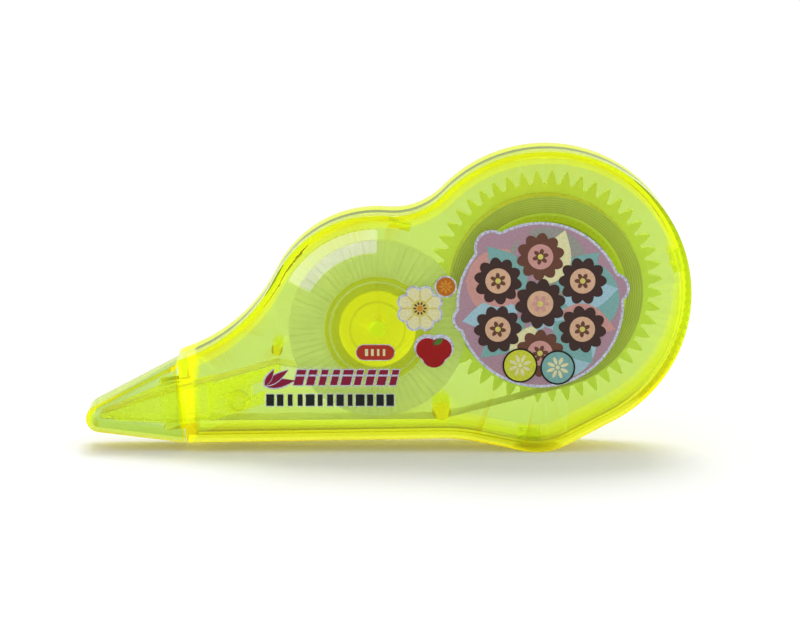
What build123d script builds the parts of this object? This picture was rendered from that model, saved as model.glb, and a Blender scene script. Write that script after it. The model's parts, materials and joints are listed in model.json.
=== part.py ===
"""Pocket correction tape dispenser with a geared pair of reels, standing on its lower edge.

Frame, in millimetres: X runs from the nose to the heel, Y from the front cover to the back cover,
Z is up. The origin lies under the middle of the bounding box, on the surface that it stands on.
"""

import os
from math import acos, atan2, cos, degrees, hypot, pi, radians, sin, tan

from build123d import *

# ---------------------------------------------------------------- driving dimensions
# Reel axes, as (x, z)
SUPPLY_AXIS = (23.2, 23.3)
TAKEUP_AXIS = (-1.5, 18.2)
CENTRES = hypot(SUPPLY_AXIS[0] - TAKEUP_AXIS[0], SUPPLY_AXIS[1] - TAKEUP_AXIS[1])

# Side profile of the case
SUPPLY_RIM_R = 21.1
TAKEUP_RIM_R = 16.8
VALLEY_R = 10.0
BROW_R = 23.7
BROW = (-30.8, 13.6)  # upper corner of the nose shoulder
HEEL = (-29.4, 1.4)  # lower corner of the nose shoulder
CHIN_SLOPE = 30.0  # degrees, of the run from the big arc down to the foot
FOOT = (21.8, 10.0)  # x of the foot's lowest point, and its radius
KEEL_SLOPE = 11.5  # degrees, of the run from the foot up to the flat underside
KEEL_START = (8.5, 2.05)  # right end of the flat underside
KEEL_BLEND_R = 25.0

# Case section, across Y; the front panel is lower than the back one by the labels' thickness
LABEL_T = 0.08
BACK_FACE_Y = 6.6
FRONT_FACE_Y = LABEL_T - BACK_FACE_Y
RIM_STEP = 0.6  # from each panel down to its rim
RIM_W = 1.7
WALL = 1.2
END_WALL = 1.8
PARTING_Y = 0.8
RIM_FILLET = 0.5
PANEL_FILLET = 0.3
LIP = (1.2, 0.55)  # depth and thickness of the lip that locates the covers
FIT_GAP = 0.05

# Nose: heights are measured along the shoulder from its middle
TAPE_W = 5.0
TAPE_MID = -0.6
SPIGOT_LEN = 3.2
SPIGOT_SPAN = (-4.2, 2.85)
SPIGOT_HALF_W = 3.75
SPIGOT_WALL = 0.6
CAP_GAP = 0.3
CAP_HALF_W = 4.6
CAP_WALL = 0.75
CAP_NOSE = (-42.3, 4.75)
CAP_NOSE_R = 2.0
CAP_SPAN = (-6.3, 5.5)
CAP_RUN_ON = 3.0  # how far past its mouth the cap's hollow is cut
CAP_FILLET = 0.9

# Layers of the works, across Y
GEAR_Y = (2.2, 3.7)
FLANGE_Y = (-4.3, -3.6)
STEP_Y = 3.8  # front of the steps that the wheels run against
POST_END_Y = -4.9

# Gear pair
SUPPLY_TEETH = 48
TAKEUP_TEETH = 26
PRESSURE = radians(20.0)
SUPPLY_PITCH_R = CENTRES * SUPPLY_TEETH / (SUPPLY_TEETH + TAKEUP_TEETH)
TAKEUP_PITCH_R = CENTRES - SUPPLY_PITCH_R
SUPPLY_ADDENDUM = 0.94
TAKEUP_ADDENDUM = 0.8
TIP_CLEARANCE = 0.2
BACKLASH = 0.12  # taken off each tooth's thickness at the pitch circle

# Reels
RUNNING = 0.05
SUPPLY_POST_R = 3.0
SUPPLY_PIN_R = 1.8
HUB_R = (8.4, 9.4)
RING_SECTION_R = 0.62
RING_GROOVE = 0.18
CORE_R = (10.5, 11.7)
ROLL_R = 14.2
TAKEUP_POST_R = 5.6
TAKEUP_PIN_R = 1.25
NECK_R = 6.4
SPOOL_R = 7.45
LINER_R = 7.9
FLANGE_R = (8.0, 13.0)
FLANGE_RIBS = 72
KEYS = 3

# Tape path, and the posts along it
TAPE_T = 0.12
CLEAR = 0.02
GUIDE = (7.9, 6.0)
GUIDE_R = 1.35
STOP_POST = (-16.2, 15.0)
STOP_POST_R = 0.8

# Applicator head
BLADE_HALF_W = 2.6
CHEEK_T = 0.5
TIP = (-42.0, 4.95)
TIP_R = 0.3
BEND_R = 1.0  # of the tape over the ridge and the saddle
RIDGE = (-33.2, 4.4)  # where the fresh tape meets the underside of the blade
SADDLE = (-33.0, 8.0)  # where the liner leaves the top of the blade
BLADE_ROOT = (-26.5, 4.6, 9.65)  # x, lower z, upper z
CHEEK = ((-40.2, 4.35), (-39.6, 6.2), (-33.6, 8.8), (-27.8, 9.7), (-25.6, 10.3),
         (-25.6, 4.5), (-33.4, 4.0))
SHANK_TILT = 19.0
UPPER_ARM = (-21.3, 10.15, 11.0, 1.7)  # x, z, length, height
LOWER_ARM = (-22.1, 6.0, 8.4, 0.8)
BRIDGE = (-21.9, 7.25, 3.3, 1.5)
LUG_R = 1.1
LUG_BOSS_R = 1.8
ROD = (-16.3, 12.0)
ROD_R = 0.6

# Window in the front cover, round the take-up axis
WINDOW_R = (11.3, 14.9)
WINDOW_ANGLES = (90.0, 151.0)

# Snap tabs
TAB_W = 3.2
TAB_T = 0.8
TAB_GAP = 0.2
TAB_END_Y = -1.6
NUB = (0.8, 0.2)  # height along Y and reach into the wall of each nub

# Printed labels on the front panel
PICTURE_AT = (22.2, 22.0)
PICTURE_R = 12.2
PICTURE_BUMPS = ((130.0, 2.6), (191.0, 2.0), (13.0, 2.3))  # bearing and radius of each
BUMP_REACH = 11.0
FLOWER = (4.7, 21.5, 3.5)  # x, z, radius
FLOWER_PETALS = 8
FRUIT = (8.45, 24.7, 1.6)
APPLE = (6.75, 15.5)
APPLE_DISCS = ((-0.95, 0.25, 1.95), (0.95, 0.25, 1.95), (0.0, -0.75, 2.0))  # x, z, radius
PILL = (-1.8, 15.0, 5.7, 2.4)  # x, z, length, height
STRIPE = (-8.4, 11.3, 19.6, 3.3)
BAR = (-8.4, 7.95, 19.2, 2.2)


# ---------------------------------------------------------------- geometry helpers
def polar(centre, radius, angle):
    """The point at a radius and an angle in degrees from a centre."""
    return (centre[0] + radius * cos(radians(angle)), centre[1] + radius * sin(radians(angle)))


def bearing(start, end):
    """Direction from start to end, in degrees."""
    return degrees(atan2(end[1] - start[1], end[0] - start[0]))


def meeting(centre_a, radius_a, centre_b, radius_b):
    """Where two circles meet, on the left of the way from centre_a to centre_b."""
    apart = hypot(centre_b[0] - centre_a[0], centre_b[1] - centre_a[1])
    turn = degrees(acos((radius_a**2 - radius_b**2 + apart**2) / (2 * apart * radius_a)))
    return polar(centre_a, radius_a, bearing(centre_a, centre_b) + turn)


def touch(point, centre, radius, side):
    """Angle at which a line from a point touches a circle; side is +1 or -1."""
    apart = hypot(centre[0] - point[0], centre[1] - point[1])
    return bearing(centre, point) + side * degrees(acos(radius / apart))


def arc(centre, radius, start_angle, end_angle):
    """An arc of a circle between two angles, in either direction."""
    return CenterArc(centre, radius, start_angle, end_angle - start_angle)


def layer(y_high):
    """The plane to draw a side profile on, before extruding it forward from y_high."""
    return Plane.XZ.offset(-y_high)


def slab(outline, y_low, y_high, inset=0.0, mode=Mode.ADD):
    """Extrudes a side profile between two depths, after drawing it in by inset."""
    with BuildSketch(layer(y_high)) as profile:
        add(outline)
        if inset:
            offset(amount=-inset, kind=Kind.INTERSECTION)
    extrude(profile.sketch, amount=y_high - y_low, mode=mode)


def disc(centre, radius, y_low, y_high, mode=Mode.ADD, bore=0.0):
    """A round slab about an axis along Y, with a bore if one is given."""
    with BuildSketch(layer(y_high)) as profile:
        with Locations(centre):
            Circle(radius)
            if bore:
                Circle(bore, mode=Mode.SUBTRACT)
    extrude(profile.sketch, amount=y_high - y_low, mode=mode)


def block(centre, size, y_low, y_high, tilt=0.0, mode=Mode.ADD):
    """A rectangular slab, turned by tilt degrees in the side view."""
    with BuildSketch(layer(y_high)) as profile:
        with Locations(centre):
            Rectangle(*size, rotation=tilt)
    extrude(profile.sketch, amount=y_high - y_low, mode=mode)


def edges_at(part, y):
    """The edges of a part that lie in one plane across Y."""
    return part.edges().filter_by_position(Axis.Y, y - 0.001, y + 0.001)


os.makedirs("parts", exist_ok=True)


def write(builder, name):
    """Labels a sub-part and writes its STEP file."""
    builder.part.label = name
    export_step(builder.part, f"parts/{name}.step")


# ---------------------------------------------------------------- shared profiles
# Case: two rims joined by a valley, a foot under the supply reel and a shoulder at the nose
valley = meeting(TAKEUP_AXIS, TAKEUP_RIM_R + VALLEY_R, SUPPLY_AXIS, SUPPLY_RIM_R + VALLEY_R)
brow_centre = meeting(BROW, BROW_R, TAKEUP_AXIS, TAKEUP_RIM_R + BROW_R)
chin_angle = CHIN_SLOPE - 90.0
chin_end = polar(SUPPLY_AXIS, SUPPLY_RIM_R, chin_angle)
foot_centre = (FOOT[0], FOOT[1])
foot_right = polar(foot_centre, FOOT[1], chin_angle)
foot_left = polar(foot_centre, FOOT[1], -90.0 - KEEL_SLOPE)
keel_meet = (foot_left[0] - (KEEL_START[1] - foot_left[1]) / tan(radians(KEEL_SLOPE)), KEEL_START[1])
tilt = bearing(HEEL, BROW) - 90.0
shoulder = ((BROW[0] + HEEL[0]) / 2, (BROW[1] + HEEL[1]) / 2)


def on_nose(along, up):
    """A point given along the nose axis (towards the heel) and up the shoulder."""
    return polar(polar(shoulder, along, tilt), up, tilt + 90.0)


with BuildSketch() as case_profile:
    with BuildLine():
        arc(SUPPLY_AXIS, SUPPLY_RIM_R, bearing(SUPPLY_AXIS, valley), chin_angle)
        Line(chin_end, foot_right)
        arc(foot_centre, FOOT[1], chin_angle, -90.0 - KEEL_SLOPE)
        Line(foot_left, keel_meet)
        Line(keel_meet, HEEL)
        Line(HEEL, BROW)
        arc(brow_centre, BROW_R, bearing(brow_centre, BROW), bearing(brow_centre, TAKEUP_AXIS))
        arc(TAKEUP_AXIS, TAKEUP_RIM_R, bearing(TAKEUP_AXIS, brow_centre), bearing(TAKEUP_AXIS, valley))
        arc(valley, VALLEY_R, bearing(valley, TAKEUP_AXIS), bearing(valley, SUPPLY_AXIS))
    make_face()
    bend = case_profile.vertices().sort_by_distance((keel_meet[0], keel_meet[1], 0))[0]
    fillet(bend, radius=KEEL_BLEND_R)
case_outline = case_profile.sketch_local

with BuildSketch() as cavity_profile:
    add(case_outline)
    offset(amount=-WALL, kind=Kind.INTERSECTION)
    with Locations(on_nose(END_WALL - 10.0, 0.0)):
        Rectangle(20.0, 30.0, rotation=tilt, mode=Mode.SUBTRACT)
cavity_outline = cavity_profile.sketch_local


def cap_shape(run_on):
    """The cap's side profile, with its mouth moved back along both sides by run_on."""
    top = on_nose(-CAP_GAP, CAP_SPAN[1])
    bottom = on_nose(-CAP_GAP, CAP_SPAN[0])
    upper = touch(top, CAP_NOSE, CAP_NOSE_R, 1)
    lower = touch(bottom, CAP_NOSE, CAP_NOSE_R, -1)
    top = polar(top, run_on, upper - 90.0)
    bottom = polar(bottom, run_on, lower + 90.0)
    with BuildSketch() as outline:
        with BuildLine():
            Line(top, polar(CAP_NOSE, CAP_NOSE_R, upper))
            arc(CAP_NOSE, CAP_NOSE_R, upper, lower + 360.0)
            Line(polar(CAP_NOSE, CAP_NOSE_R, lower), bottom)
            Line(bottom, top)
        make_face()
    return outline.sketch_local


def gear_outline(teeth, pitch_r, tip_r, root_r, phase):
    """An involute wheel about the origin, with a tooth centred at the phase angle in degrees."""
    base_r = pitch_r * cos(PRESSURE)
    thickness = pi * pitch_r / teeth - BACKLASH
    half = thickness / (2 * pitch_r) + tan(PRESSURE) - PRESSURE
    start_r = max(base_r, root_r)
    radii = [start_r + (tip_r - start_r) * step / 5 for step in range(6)]
    turns = []
    for radius in radii:
        pressure = acos(base_r / radius)
        turns.append(half - (tan(pressure) - pressure))
    right = [polar((0, 0), r, -degrees(t)) for r, t in zip(radii, turns)]
    left = [polar((0, 0), r, degrees(t)) for r, t in zip(radii, turns)]
    inner = polar((0, 0), root_r - 0.2, -degrees(turns[0]))
    outer = polar((0, 0), root_r - 0.2, degrees(turns[0]))
    with BuildSketch() as tooth:
        with BuildLine():
            Line(inner, right[0])
            Spline(*right)
            Line(right[-1], left[-1])
            Spline(*reversed(left))
            Line(left[0], outer)
            Line(outer, inner)
        make_face()
    with BuildSketch() as wheel:
        Circle(root_r)
        with PolarLocations(0, teeth, start_angle=phase):
            add(tooth.sketch)
    return wheel.sketch_local


def at(outline, centre):
    """A side profile moved to a centre."""
    return outline.moved(Location((centre[0], centre[1], 0)))


def belt(pulleys, start=None, end=None):
    """Draws a strand round pulleys given as (centre, radius), the radius negative where the strand
    turns the other way; start and end are the angles it goes to on the first and last of them."""
    leave = []
    arrive = [start]
    for (centre_a, radius_a), (centre_b, radius_b) in zip(pulleys, pulleys[1:]):
        apart = hypot(centre_b[0] - centre_a[0], centre_b[1] - centre_a[1])
        normal = bearing(centre_a, centre_b) + degrees(acos((radius_a - radius_b) / apart))
        Line(polar(centre_a, radius_a, normal), polar(centre_b, radius_b, normal))
        leave.append(normal)
        arrive.append(normal)
    leave.append(end)
    for (centre, radius), first, last in zip(pulleys, arrive, leave):
        if first is not None and last is not None:
            flip = 0.0 if radius > 0 else 180.0
            swing = (first - last) % 360.0 if radius > 0 else -((last - first) % 360.0)
            arc(centre, abs(radius), first + flip, first + flip - swing)


def strand(pulleys, start=None, end=None):
    """The tape along a belt line, at its full width."""
    with BuildSketch(layer(TAPE_MID + TAPE_W / 2)) as section:
        with BuildLine() as path:
            belt(pulleys, start, end)
        trace(path.line, line_width=TAPE_T)
    extrude(section.sketch, amount=TAPE_W)


# ---------------------------------------------------------------- covers
front_rim_y = FRONT_FACE_Y + RIM_STEP
front_inner_y = FRONT_FACE_Y + WALL
back_rim_y = BACK_FACE_Y - RIM_STEP
back_inner_y = BACK_FACE_Y - WALL
spigot_y = (TAPE_MID - SPIGOT_HALF_W, TAPE_MID + SPIGOT_HALF_W)
hollow_y = (spigot_y[0] + SPIGOT_WALL, spigot_y[1] - SPIGOT_WALL)
lug = (BRIDGE[0], BRIDGE[1])
# Each tab's axis, the radius of the wall that it lies against, and its angle
tabs = (
    (TAKEUP_AXIS, TAKEUP_RIM_R - WALL, 77.6),
    (SUPPLY_AXIS, SUPPLY_RIM_R - WALL, 13.2),
    (foot_centre, FOOT[1] - WALL, -96.0),
)


def cover(face_y, rim_y):
    """The outside of one cover, as a rim and a raised panel with rounded edges."""
    outside = 1 if face_y > 0 else -1
    low, high = sorted((rim_y, PARTING_Y))
    slab(case_outline, low, high)
    shell = BuildPart._get_context().part
    fillet(edges_at(shell, rim_y), radius=RIM_FILLET)
    low, high = sorted((face_y, rim_y - outside * RIM_FILLET))
    slab(case_outline, low, high, inset=RIM_W)
    shell = BuildPart._get_context().part
    fillet(edges_at(shell, face_y), radius=PANEL_FILLET)


def spigot_block(y_low, y_high, wall, mode=Mode.ADD):
    """The tube on the shoulder that the cap pushes over; its hollow also goes through the wall."""
    reach = 0.02 if mode == Mode.ADD else END_WALL + 0.5
    height = SPIGOT_SPAN[1] - SPIGOT_SPAN[0] - 2 * wall
    middle = on_nose((reach - SPIGOT_LEN) / 2, (SPIGOT_SPAN[0] + SPIGOT_SPAN[1]) / 2)
    block(middle, (SPIGOT_LEN + reach, height), y_low, y_high, tilt, mode)


with BuildPart() as front_case:
    cover(FRONT_FACE_Y, front_rim_y)
    slab(cavity_outline, front_inner_y, PARTING_Y, mode=Mode.SUBTRACT)
    slab(cavity_outline, PARTING_Y - LIP[0], PARTING_Y, -LIP[1] - FIT_GAP, Mode.SUBTRACT)
    spigot_block(spigot_y[0], PARTING_Y, 0.0)
    spigot_block(hollow_y[0], PARTING_Y, SPIGOT_WALL, Mode.SUBTRACT)
    # curved window
    with BuildSketch(layer(front_inner_y)) as opening:
        with BuildLine():
            arc(TAKEUP_AXIS, WINDOW_R[0], *WINDOW_ANGLES)
            Line(polar(TAKEUP_AXIS, WINDOW_R[0], WINDOW_ANGLES[1]),
                 polar(TAKEUP_AXIS, WINDOW_R[1], WINDOW_ANGLES[1]))
            arc(TAKEUP_AXIS, WINDOW_R[1], *reversed(WINDOW_ANGLES))
            Line(polar(TAKEUP_AXIS, WINDOW_R[1], WINDOW_ANGLES[0]),
                 polar(TAKEUP_AXIS, WINDOW_R[0], WINDOW_ANGLES[0]))
        make_face()
        fillet(opening.vertices(), radius=0.4)
    extrude(opening.sketch, amount=WALL + RIM_STEP, mode=Mode.SUBTRACT)
    # pins into the back cover's posts, the ring that keeps the core in and the lug's socket
    disc(SUPPLY_AXIS, SUPPLY_PIN_R, front_inner_y, 0.0)
    disc(TAKEUP_AXIS, TAKEUP_PIN_R, front_inner_y, 0.0)
    disc(SUPPLY_AXIS, CORE_R[0] + 0.9, front_inner_y, TAPE_MID - TAPE_W / 2 - 0.15,
         bore=CORE_R[0] + 0.1)
    disc(lug, LUG_BOSS_R, front_inner_y, front_inner_y + 1.0, bore=LUG_R + FIT_GAP)
    # pockets for the snap tabs' nubs
    for axis, radius, angle in tabs:
        block(polar(axis, radius, angle), (2 * NUB[1] + 0.4, TAB_W + 0.2),
              TAB_END_Y - 0.05, TAB_END_Y + NUB[0] + 0.05, angle, Mode.SUBTRACT)
write(front_case, "front_case")

with BuildPart() as back_case:
    cover(BACK_FACE_Y, back_rim_y)
    slab(cavity_outline, PARTING_Y, back_inner_y, mode=Mode.SUBTRACT)
    slab(cavity_outline, PARTING_Y - LIP[0] + FIT_GAP, PARTING_Y, -LIP[1])
    slab(cavity_outline, PARTING_Y - LIP[0], back_inner_y, mode=Mode.SUBTRACT)
    spigot_block(PARTING_Y, spigot_y[1], 0.0)
    spigot_block(PARTING_Y - LIP[0] - 0.1, hollow_y[1], SPIGOT_WALL, Mode.SUBTRACT)
    # reel posts with their steps
    disc(SUPPLY_AXIS, SUPPLY_POST_R + 1.2, STEP_Y, back_inner_y)
    disc(TAKEUP_AXIS, TAKEUP_POST_R + 1.0, STEP_Y, back_inner_y)
    disc(SUPPLY_AXIS, SUPPLY_POST_R, POST_END_Y, back_inner_y)
    disc(TAKEUP_AXIS, TAKEUP_POST_R, POST_END_Y, back_inner_y)
    disc(SUPPLY_AXIS, SUPPLY_PIN_R + FIT_GAP, POST_END_Y, 0.2, Mode.SUBTRACT)
    disc(TAKEUP_AXIS, TAKEUP_PIN_R + FIT_GAP, POST_END_Y, 0.2, Mode.SUBTRACT)
    # guide post, stop post and the lug's socket
    disc(GUIDE, GUIDE_R, POST_END_Y, back_inner_y)
    disc(STOP_POST, STOP_POST_R, POST_END_Y, back_inner_y)
    disc(lug, LUG_BOSS_R, TAPE_MID + BLADE_HALF_W + CHEEK_T + 0.2, back_inner_y,
         bore=LUG_R + FIT_GAP)
    # snap tabs, each with a nub at its end
    for axis, radius, angle in tabs:
        block(polar(axis, radius - TAB_GAP - TAB_T / 2, angle), (TAB_T, TAB_W),
              TAB_END_Y, back_inner_y, angle)
        block(polar(axis, radius - TAB_GAP / 2, angle), (TAB_GAP + 2 * NUB[1], TAB_W),
              TAB_END_Y, TAB_END_Y + NUB[0], angle)
write(back_case, "back_case")

# ---------------------------------------------------------------- cap
with BuildPart() as tip_cap:
    slab(cap_shape(0.0), TAPE_MID - CAP_HALF_W, TAPE_MID + CAP_HALF_W)
    rims = edges_at(tip_cap.part, TAPE_MID - CAP_HALF_W) + edges_at(
        tip_cap.part, TAPE_MID + CAP_HALF_W)
    fillet(rims, radius=CAP_FILLET)
    inside = CAP_HALF_W - CAP_WALL
    slab(cap_shape(CAP_RUN_ON), TAPE_MID - inside, TAPE_MID + inside, CAP_WALL, Mode.SUBTRACT)
write(tip_cap, "tip_cap")

# ---------------------------------------------------------------- applicator head
blade_top = touch(SADDLE, TIP, TIP_R, 1)
blade_low = touch(RIDGE, TIP, TIP_R, -1)
cheeks = (
    (TAPE_MID - BLADE_HALF_W - CHEEK_T, TAPE_MID - BLADE_HALF_W),
    (TAPE_MID + BLADE_HALF_W, TAPE_MID + BLADE_HALF_W + CHEEK_T),
)
with BuildPart() as applicator_head:
    with BuildSketch(layer(cheeks[1][0])) as blade:
        with BuildLine():
            Line(SADDLE, polar(TIP, TIP_R, blade_top))
            arc(TIP, TIP_R, blade_top, blade_low + 360.0)
            Polyline(polar(TIP, TIP_R, blade_low), RIDGE, (BLADE_ROOT[0], BLADE_ROOT[1]),
                     (BLADE_ROOT[0], BLADE_ROOT[2]), SADDLE)
        make_face()
    extrude(blade.sketch, amount=2 * BLADE_HALF_W)
    for y_low, y_high in cheeks:
        with BuildSketch(layer(y_high)) as cheek:
            with BuildLine():
                Polyline(*CHEEK, close=True)
            make_face()
            with Locations((UPPER_ARM[0], UPPER_ARM[1])):
                Rectangle(*UPPER_ARM[2:], rotation=SHANK_TILT)
            with Locations((LOWER_ARM[0], LOWER_ARM[1])):
                Rectangle(*LOWER_ARM[2:], rotation=SHANK_TILT)
            with Locations(lug):
                Rectangle(*BRIDGE[2:], rotation=SHANK_TILT)
            with Locations((lug[0] - 2.5, lug[1])):
                Rectangle(4.0, BRIDGE[3], rotation=SHANK_TILT)
            with Locations(ROD):
                Circle(ROD_R)
        extrude(cheek.sketch, amount=y_high - y_low)
    block(lug, BRIDGE[2:], cheeks[0][0], cheeks[1][1], SHANK_TILT)
    disc(ROD, ROD_R, cheeks[0][0], cheeks[1][1])
    disc(lug, LUG_R, front_inner_y + 0.1, back_inner_y - 0.1)
write(applicator_head, "applicator_head")

# ---------------------------------------------------------------- supply reel
drive_line = bearing(SUPPLY_AXIS, TAKEUP_AXIS)
supply_wheel = gear_outline(SUPPLY_TEETH, SUPPLY_PITCH_R, SUPPLY_PITCH_R + SUPPLY_ADDENDUM,
                            SUPPLY_PITCH_R - TAKEUP_ADDENDUM - TIP_CLEARANCE, drive_line)
groove_y = (TAPE_MID - RING_SECTION_R - 0.05, TAPE_MID + RING_SECTION_R + 0.05)
with BuildPart() as supply_gear:
    slab(at(supply_wheel, SUPPLY_AXIS), *GEAR_Y)
    disc(SUPPLY_AXIS, HUB_R[1], TAPE_MID - TAPE_W / 2 - 0.1, GEAR_Y[0], bore=HUB_R[0])
    disc(SUPPLY_AXIS, SUPPLY_POST_R + 1.0, TAPE_MID - TAPE_W / 2 - 0.1, GEAR_Y[0])
    disc(SUPPLY_AXIS, SUPPLY_POST_R + RUNNING, -BACK_FACE_Y, BACK_FACE_Y, Mode.SUBTRACT)
    disc(SUPPLY_AXIS, HUB_R[1] + 0.2, *groove_y, Mode.SUBTRACT, bore=HUB_R[1] - RING_GROOVE)
write(supply_gear, "supply_gear")

with BuildPart() as clutch_ring:
    supply_centre = (SUPPLY_AXIS[0], 0, SUPPLY_AXIS[1])
    with BuildSketch(Plane(origin=supply_centre, x_dir=(1, 0, 0), z_dir=(0, 0, 1))):
        with Locations((HUB_R[1] - RING_GROOVE + RING_SECTION_R, TAPE_MID)):
            Circle(RING_SECTION_R)
    revolve(axis=Axis(supply_centre, (0, 1, 0)))
write(clutch_ring, "clutch_ring")

tape_y = (TAPE_MID - TAPE_W / 2, TAPE_MID + TAPE_W / 2)
with BuildPart() as supply_core:
    disc(SUPPLY_AXIS, CORE_R[1], *tape_y, bore=CORE_R[0])
write(supply_core, "supply_core")

with BuildPart() as tape_roll:
    disc(SUPPLY_AXIS, ROLL_R, *tape_y, bore=CORE_R[1] + CLEAR)
write(tape_roll, "tape_roll")

# ---------------------------------------------------------------- take-up reel
takeup_wheel = gear_outline(TAKEUP_TEETH, TAKEUP_PITCH_R, TAKEUP_PITCH_R + TAKEUP_ADDENDUM,
                            TAKEUP_PITCH_R - SUPPLY_ADDENDUM - TIP_CLEARANCE,
                            drive_line + 180.0 + 180.0 / TAKEUP_TEETH)
key = (1.2, 1.6)
with BuildPart() as take_up_spool:
    disc(TAKEUP_AXIS, FLANGE_R[1], *FLANGE_Y)
    disc(TAKEUP_AXIS, NECK_R + 0.2, FLANGE_Y[0] - 0.4, FLANGE_Y[0])
    disc(TAKEUP_AXIS, SPOOL_R, FLANGE_Y[1], GEAR_Y[0] - 0.05)
    disc(TAKEUP_AXIS, NECK_R, GEAR_Y[0] - 0.05, GEAR_Y[1])
    with BuildSketch(layer(GEAR_Y[1])) as keys:
        with Locations(TAKEUP_AXIS), PolarLocations(NECK_R, KEYS):
            Rectangle(*key)
    extrude(keys.sketch, amount=GEAR_Y[1] - GEAR_Y[0])
    rib_length = FLANGE_R[1] - 0.2 - FLANGE_R[0]
    with BuildSketch(layer(FLANGE_Y[0])) as ribs:
        with Locations(TAKEUP_AXIS), PolarLocations(FLANGE_R[0] + rib_length / 2, FLANGE_RIBS):
            Rectangle(rib_length, 0.25)
    extrude(ribs.sketch, amount=0.15)
    disc(TAKEUP_AXIS, TAKEUP_POST_R + RUNNING, -BACK_FACE_Y, BACK_FACE_Y, Mode.SUBTRACT)
write(take_up_spool, "take_up_spool")

with BuildPart() as take_up_pinion:
    slab(at(takeup_wheel, TAKEUP_AXIS), *GEAR_Y)
    disc(TAKEUP_AXIS, NECK_R + 0.03, *GEAR_Y, Mode.SUBTRACT)
    with BuildSketch(layer(GEAR_Y[1])) as slots:
        with Locations(TAKEUP_AXIS), PolarLocations(NECK_R, KEYS):
            Rectangle(key[0] + 0.06, key[1] + 0.06)
    extrude(slots.sketch, amount=GEAR_Y[1] - GEAR_Y[0], mode=Mode.SUBTRACT)
write(take_up_pinion, "take_up_pinion")

with BuildPart() as used_liner_roll:
    disc(TAKEUP_AXIS, LINER_R, *tape_y, bore=SPOOL_R + CLEAR)
write(used_liner_roll, "used_liner_roll")

# ---------------------------------------------------------------- strands between the reels
off = CLEAR + TAPE_T / 2
with BuildPart() as tape_run:
    strand([(SUPPLY_AXIS, ROLL_R + off), (GUIDE, GUIDE_R + off),
            ((RIDGE[0], RIDGE[1] + BEND_R), BEND_R + off), (TIP, TIP_R + off)], end=-175.0)
write(tape_run, "tape_run")

with BuildPart() as liner_run:
    strand([(TIP, TIP_R + off), (polar(SADDLE, BEND_R, -74.0), BEND_R + off),
            (ROD, ROD_R + off), (TAKEUP_AXIS, -LINER_R - off)], start=175.0)
write(liner_run, "liner_run")

# ---------------------------------------------------------------- labels
with BuildPart() as picture_label:
    disc(PICTURE_AT, PICTURE_R, -BACK_FACE_Y, FRONT_FACE_Y)
    for angle, radius in PICTURE_BUMPS:
        disc(polar(PICTURE_AT, BUMP_REACH, angle), radius, -BACK_FACE_Y, FRONT_FACE_Y)
write(picture_label, "picture_label")

with BuildPart() as flower_label:
    disc(FLOWER[:2], FLOWER[2] * 0.7, -BACK_FACE_Y, FRONT_FACE_Y)
    for petal in range(FLOWER_PETALS):
        spot = polar(FLOWER[:2], FLOWER[2] * 0.66, 360.0 * (petal + 0.5) / FLOWER_PETALS)
        disc(spot, FLOWER[2] * 0.34, -BACK_FACE_Y, FRONT_FACE_Y)
write(flower_label, "flower_label")

with BuildPart() as fruit_label:
    disc(FRUIT[:2], FRUIT[2], -BACK_FACE_Y, FRONT_FACE_Y)
write(fruit_label, "fruit_label")

with BuildPart() as apple_label:
    for x, z, radius in APPLE_DISCS:
        disc((APPLE[0] + x, APPLE[1] + z), radius, -BACK_FACE_Y, FRONT_FACE_Y)
write(apple_label, "apple_label")

for name, (x, z, length, height) in (("pill", PILL), ("stripe", STRIPE), ("bar", BAR)):
    with BuildPart() as strip:
        with BuildSketch(layer(FRONT_FACE_Y)) as outline:
            with Locations((x, z)):
                RectangleRounded(length, height, min(height / 2 - 0.02, 1.4 if name == "pill" else 0.5))
        extrude(outline.sketch, amount=LABEL_T)
    write(strip, name + "_label")
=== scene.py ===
import json
import math
import bpy
import bmesh
from mathutils import Matrix, Vector


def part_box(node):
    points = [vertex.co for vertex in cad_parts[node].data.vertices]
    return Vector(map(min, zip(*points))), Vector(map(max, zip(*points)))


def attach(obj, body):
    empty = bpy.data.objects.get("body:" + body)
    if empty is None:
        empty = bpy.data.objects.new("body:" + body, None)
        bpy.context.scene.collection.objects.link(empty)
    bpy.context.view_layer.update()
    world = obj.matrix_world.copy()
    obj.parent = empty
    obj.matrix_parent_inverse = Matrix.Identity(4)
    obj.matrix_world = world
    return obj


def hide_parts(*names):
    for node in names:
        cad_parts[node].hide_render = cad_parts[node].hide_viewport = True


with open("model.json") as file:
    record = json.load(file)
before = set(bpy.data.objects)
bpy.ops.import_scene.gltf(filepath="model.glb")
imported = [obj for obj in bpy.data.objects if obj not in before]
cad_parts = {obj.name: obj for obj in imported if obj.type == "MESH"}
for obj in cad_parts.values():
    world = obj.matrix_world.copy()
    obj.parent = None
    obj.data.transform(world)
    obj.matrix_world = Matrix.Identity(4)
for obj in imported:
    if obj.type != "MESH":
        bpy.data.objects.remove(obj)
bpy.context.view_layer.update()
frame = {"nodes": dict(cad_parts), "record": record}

mm = 0.001
behaviour = frame["record"]["behaviour"]
print("frame in, nodes:", len(frame["nodes"]))


def linear(code):
    parts = [int(code[i:i + 2], 16) / 255 for i in (1, 3, 5)]
    return tuple(c / 12.92 if c <= 0.04045 else ((c + 0.055) / 1.055) ** 2.4 for c in parts) + (1.0,)


def addNode(tree, kind, links=(), inputs=(), **settings):
    node = tree.nodes.new(kind)
    for name, value in settings.items():
        setattr(node, name, value)
    for key, value in dict(inputs).items():
        node.inputs[key].default_value = value
    for key, source in dict(links).items():
        tree.links.new(source, node.inputs[key])
    return node


def newMaterial(name):
    material = bpy.data.materials.new(name)
    material.use_nodes = True
    material.node_tree.nodes.clear()
    return material, material.node_tree


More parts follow.
